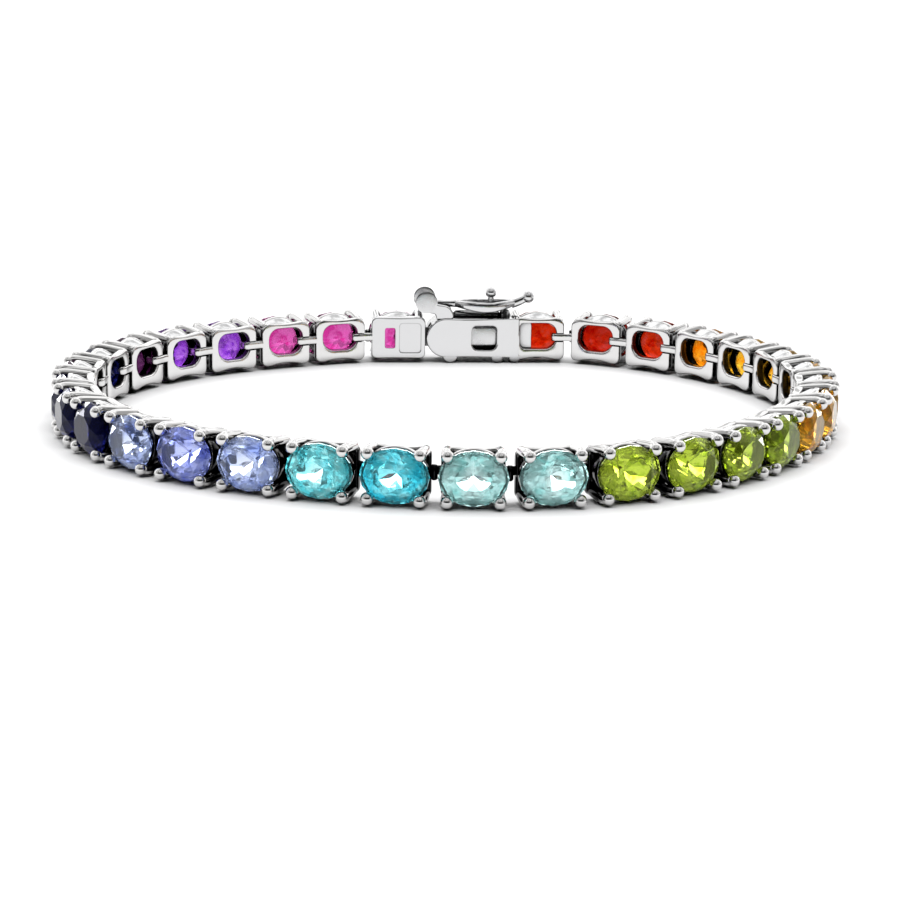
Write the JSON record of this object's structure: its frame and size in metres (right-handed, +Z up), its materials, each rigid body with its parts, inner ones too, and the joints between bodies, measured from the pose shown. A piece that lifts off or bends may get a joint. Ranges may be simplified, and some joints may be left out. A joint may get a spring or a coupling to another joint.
{
  "type": "tennis bracelet",
  "caption": "Tennis bracelet with oval stones in every colour of the rainbow, box clasp and folding safety catch, standing on edge as a closed loop.",
  "frame": {"origin": "on the surface that the bracelet stands on, under the middle of the loop", "axes": "+Z up through the loop, away from the surface; +Y towards the clasp; +X to the wearer's side with the red stones"},
  "size_m": [0.0624, 0.0596, 0.0061],
  "materials": {
    "silver": "bright polished rhodium-plated silver",
    "gem_scarlet": "faceted and polished transparent stone",
    "gem_crimson": "faceted and polished transparent stone",
    "gem_orange": "faceted and polished transparent stone",
    "gem_amber": "faceted and polished transparent stone",
    "gem_yellow_green": "faceted and polished transparent stone",
    "gem_lime": "faceted and polished transparent stone",
    "gem_aqua_grey": "faceted and polished transparent stone",
    "gem_teal": "faceted and polished transparent stone",
    "gem_turquoise": "faceted and polished transparent stone",
    "gem_blue_violet": "faceted and polished transparent stone",
    "gem_deep_blue": "faceted and polished transparent stone",
    "gem_midnight": "faceted and polished transparent stone",
    "gem_magenta": "faceted and polished transparent stone",
    "gem_violet": "faceted and polished transparent stone",
    "gem_plum": "faceted and polished transparent stone"
  },
  "bodies": {
    "bracelet": {"link_01": "silver", "link_02": "silver", "link_03": "silver", "link_04": "silver", "link_05": "silver", "link_06": "silver", "link_07": "silver", "link_08": "silver", "link_09": "silver", "link_10": "silver", "link_11": "silver", "link_12": "silver", "link_13": "silver", "link_14": "silver", "link_15": "silver", "link_16": "silver", "link_17": "silver", "link_18": "silver", "link_19": "silver", "link_20": "silver", "link_21": "silver", "link_22": "silver", "link_23": "silver", "link_24": "silver", "link_25": "silver", "link_26": "silver", "link_27": "silver", "link_28": "silver", "link_29": "silver", "link_30": "silver", "clasp_box": "silver", "clasp_tongue": "silver"},
    "safety_catch": {"safety_catch": "silver"}
  },
  "joints": [
    {"name": "safety_catch_hinge", "type": "hinge", "parent": "bracelet", "child": "safety_catch", "pos_m": [-0.0001, 0.02774, 0.005], "axis": [0.0179, -0.9998, 0], "range_deg": [0, 120]}
  ]
}
